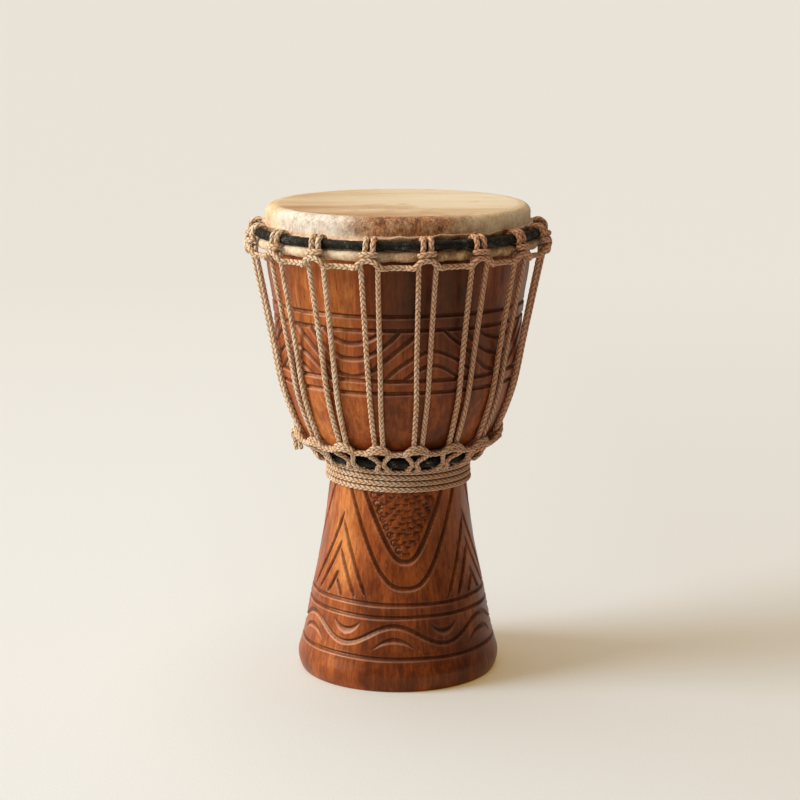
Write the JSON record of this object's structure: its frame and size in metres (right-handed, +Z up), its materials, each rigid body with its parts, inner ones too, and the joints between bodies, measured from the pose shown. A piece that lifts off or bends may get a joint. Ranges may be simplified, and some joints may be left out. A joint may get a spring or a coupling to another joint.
{
  "type": "djembe",
  "caption": "Goblet-shaped hand drum: carved wooden shell, rope-tensioned goatskin head, cloth-wrapped crown and lower rings, rope wound round the waist, open foot.",
  "frame": {"origin": "centre of the foot, on the floor", "axes": "+Z up the drum's axis to the playing surface; the front, midway between two rope stations, faces -Y; +X to the front's right"},
  "size_m": [0.2576, 0.257, 0.4],
  "materials": {
    "carved_wood": "oiled satin, reddish brown hardwood",
    "goatskin": "cream rawhide, short hair left on the side",
    "ring_steel": "plain rod, hidden inside its wrap",
    "black_cloth": "matt black cloth strip",
    "rope": "braided tan cord, matt"
  },
  "bodies": {
    "root": {"shell": "carved_wood", "skin": "goatskin", "flesh_ring": "ring_steel", "crown_ring": "ring_steel", "lower_ring": "ring_steel", "crown_ring_wrap": "black_cloth", "lower_ring_wrap": "black_cloth", "vertical_rope": "rope", "crown_loop_rope": "rope", "tie_rope": "rope", "waist_wrap": "rope", "crown_hitch_01": "rope", "crown_hitch_02": "rope", "crown_hitch_03": "rope", "crown_hitch_04": "rope", "crown_hitch_05": "rope", "crown_hitch_06": "rope", "crown_hitch_07": "rope", "crown_hitch_08": "rope", "crown_hitch_09": "rope", "crown_hitch_10": "rope", "crown_hitch_11": "rope", "crown_hitch_12": "rope", "crown_hitch_13": "rope", "crown_hitch_14": "rope", "crown_hitch_15": "rope", "crown_hitch_16": "rope", "crown_hitch_17": "rope", "lower_hitch_01": "rope", "lower_hitch_02": "rope", "lower_hitch_03": "rope", "lower_hitch_04": "rope", "lower_hitch_05": "rope", "lower_hitch_06": "rope", "lower_hitch_07": "rope", "lower_hitch_08": "rope", "lower_hitch_09": "rope", "lower_hitch_10": "rope", "lower_hitch_11": "rope", "lower_hitch_12": "rope", "lower_hitch_13": "rope", "lower_hitch_14": "rope", "lower_hitch_15": "rope", "lower_hitch_16": "rope", "lower_hitch_17": "rope"}
  },
  "joints": []
}
